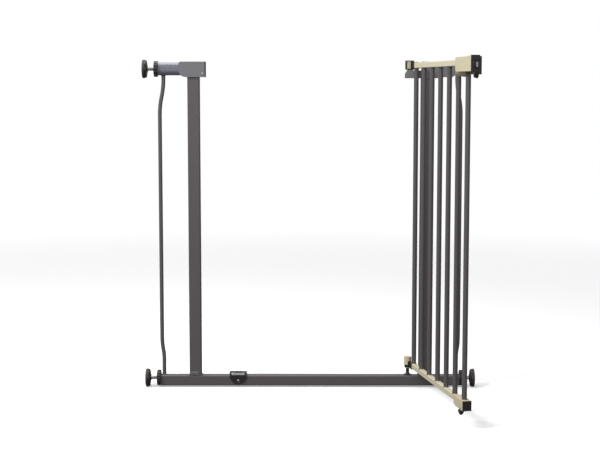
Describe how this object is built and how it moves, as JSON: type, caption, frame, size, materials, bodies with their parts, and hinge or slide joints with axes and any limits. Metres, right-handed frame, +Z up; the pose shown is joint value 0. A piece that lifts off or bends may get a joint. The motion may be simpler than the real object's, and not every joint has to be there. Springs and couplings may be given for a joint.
{
  "type": "safety baby gate",
  "caption": "Pressure-fit doorway safety gate: U-shaped steel frame on four hand-wheel wall spindles, with a barred door that lifts and swings and a sliding latch.",
  "frame": {"origin": "middle of the threshold rail's underside, on the plane of the frame", "axes": "+X along the rail towards the hinge post, +Y away from the side the door opens to, +Z up the posts"},
  "size_m": [0.766, 0.4838, 0.7581],
  "materials": {
    "frame_paint": "satin powder coat",
    "tube_satin": "satin metallic paint",
    "housing_plastic": "fine moulded texture",
    "dark_plastic": "satin moulded",
    "cream_paint": "satin powder coat",
    "cream_plastic": "satin moulded",
    "steel": "zinc plated",
    "pad_rubber": "soft rubber"
  },
  "bodies": {
    "frame": {"bottom_rail": "frame_paint", "left_post": "frame_paint", "right_post": "frame_paint", "left_top_tube": "tube_satin", "right_top_tube": "tube_satin", "left_bow_bar": "frame_paint", "right_bow_bar": "frame_paint", "tube_end_plugs": "dark_plastic", "rail_end_plugs": "dark_plastic", "post_foot_clips": "steel", "receiver_front": "housing_plastic", "receiver_rear": "housing_plastic", "receiver_end_plate": "dark_plastic", "hinge_housing_front": "housing_plastic", "hinge_housing_rear": "housing_plastic", "housing_screws": "steel", "catch_base": "dark_plastic", "catch_strike": "steel", "catch_screw": "steel", "lower_hinge_stem": "dark_plastic", "hinge_pins": "steel"},
    "hinge_bushes": {"lower_hinge_bush": "cream_plastic", "upper_hinge_bush": "cream_plastic"},
    "door": {"upper_knuckle": "dark_plastic", "upper_knuckle_cover": "cream_plastic", "lower_knuckle": "dark_plastic", "lower_knuckle_cover": "cream_plastic", "door_top_rail": "cream_paint", "door_bottom_rail": "cream_paint", "door_bar_1": "frame_paint", "door_bar_2": "frame_paint", "door_bar_3": "frame_paint", "door_bar_4": "frame_paint", "door_bar_5": "frame_paint", "door_bar_6": "frame_paint", "door_bar_7": "frame_paint", "handle_collar": "cream_plastic", "handle_front_shell": "cream_plastic", "handle_rear_shell": "cream_plastic", "handle_screws": "steel", "latch_end_plate": "dark_plastic", "bolt_spring": "steel", "lower_boot": "cream_plastic", "boot_end_cap": "dark_plastic", "pin_holder": "dark_plastic", "drop_pin": "steel"},
    "latch": {"latch_bolt": "steel", "thumb_slide": "cream_plastic"},
    "upper_left_hand_wheel": {"upper_left_wheel": "dark_plastic"},
    "upper_left_wall_spindle": {"upper_left_spindle": "steel", "upper_left_pad": "pad_rubber"},
    "upper_right_hand_wheel": {"upper_right_wheel": "dark_plastic"},
    "upper_right_wall_spindle": {"upper_right_spindle": "steel", "upper_right_pad": "pad_rubber"},
    "lower_left_hand_wheel": {"lower_left_wheel": "dark_plastic"},
    "lower_left_wall_spindle": {"lower_left_spindle": "steel", "lower_left_pad": "pad_rubber"},
    "lower_right_hand_wheel": {"lower_right_wheel": "dark_plastic"},
    "lower_right_wall_spindle": {"lower_right_spindle": "steel", "lower_right_pad": "pad_rubber"}
  },
  "joints": [
    {"name": "door_swing", "type": "hinge", "parent": "frame", "child": "hinge_bushes", "pos_m": [0.2276, 0, 0.048], "axis": [0, 0, 1], "range_deg": [-101.4, 3.6]},
    {"name": "door_lift", "type": "slide", "parent": "hinge_bushes", "child": "door", "axis": [0, 0, 1], "range_m": [0, 0.01]},
    {"name": "latch_pull", "type": "slide", "parent": "door", "child": "latch", "axis": [-0.1977, 0.9803, 0], "range_m": [0, 0.009], "stiffness_N_per_m": 250, "springref_m": -0.008, "deforming": ["bolt_spring"]},
    {"name": "upper_left_wheel_turn", "type": "hinge", "parent": "frame", "child": "upper_left_hand_wheel", "pos_m": [-0.35, 0, 0.733], "axis": [-1, 0, 0], "range_deg": [-3620, 2180]},
    {"name": "upper_left_spindle_reach", "type": "slide", "parent": "frame", "child": "upper_left_wall_spindle", "axis": [-1, 0, 0], "range_m": [-0.012, 0.02]},
    {"name": "upper_right_wheel_turn", "type": "hinge", "parent": "frame", "child": "upper_right_hand_wheel", "pos_m": [0.35, 0, 0.733], "axis": [1, 0, 0], "range_deg": [-3620, 2180]},
    {"name": "upper_right_spindle_reach", "type": "slide", "parent": "frame", "child": "upper_right_wall_spindle", "axis": [1, 0, 0], "range_m": [-0.012, 0.02]},
    {"name": "lower_left_wheel_turn", "type": "hinge", "parent": "frame", "child": "lower_left_hand_wheel", "pos_m": [-0.35, 0, 0.017], "axis": [-1, 0, 0], "range_deg": [-3620, 2180]},
    {"name": "lower_left_spindle_reach", "type": "slide", "parent": "frame", "child": "lower_left_wall_spindle", "axis": [-1, 0, 0], "range_m": [-0.012, 0.02]},
    {"name": "lower_right_wheel_turn", "type": "hinge", "parent": "frame", "child": "lower_right_hand_wheel", "pos_m": [0.35, 0, 0.017], "axis": [1, 0, 0], "range_deg": [-3620, 2180]},
    {"name": "lower_right_spindle_reach", "type": "slide", "parent": "frame", "child": "lower_right_wall_spindle", "axis": [1, 0, 0], "range_m": [-0.012, 0.02]}
  ],
  "couplings": [
    {"joint": "upper_left_wheel_turn", "follows": "upper_left_spindle_reach", "rad_per_m": -3141.6},
    {"joint": "upper_right_wheel_turn", "follows": "upper_right_spindle_reach", "rad_per_m": -3141.6},
    {"joint": "lower_left_wheel_turn", "follows": "lower_left_spindle_reach", "rad_per_m": -3141.6},
    {"joint": "lower_right_wheel_turn", "follows": "lower_right_spindle_reach", "rad_per_m": -3141.6}
  ]
}
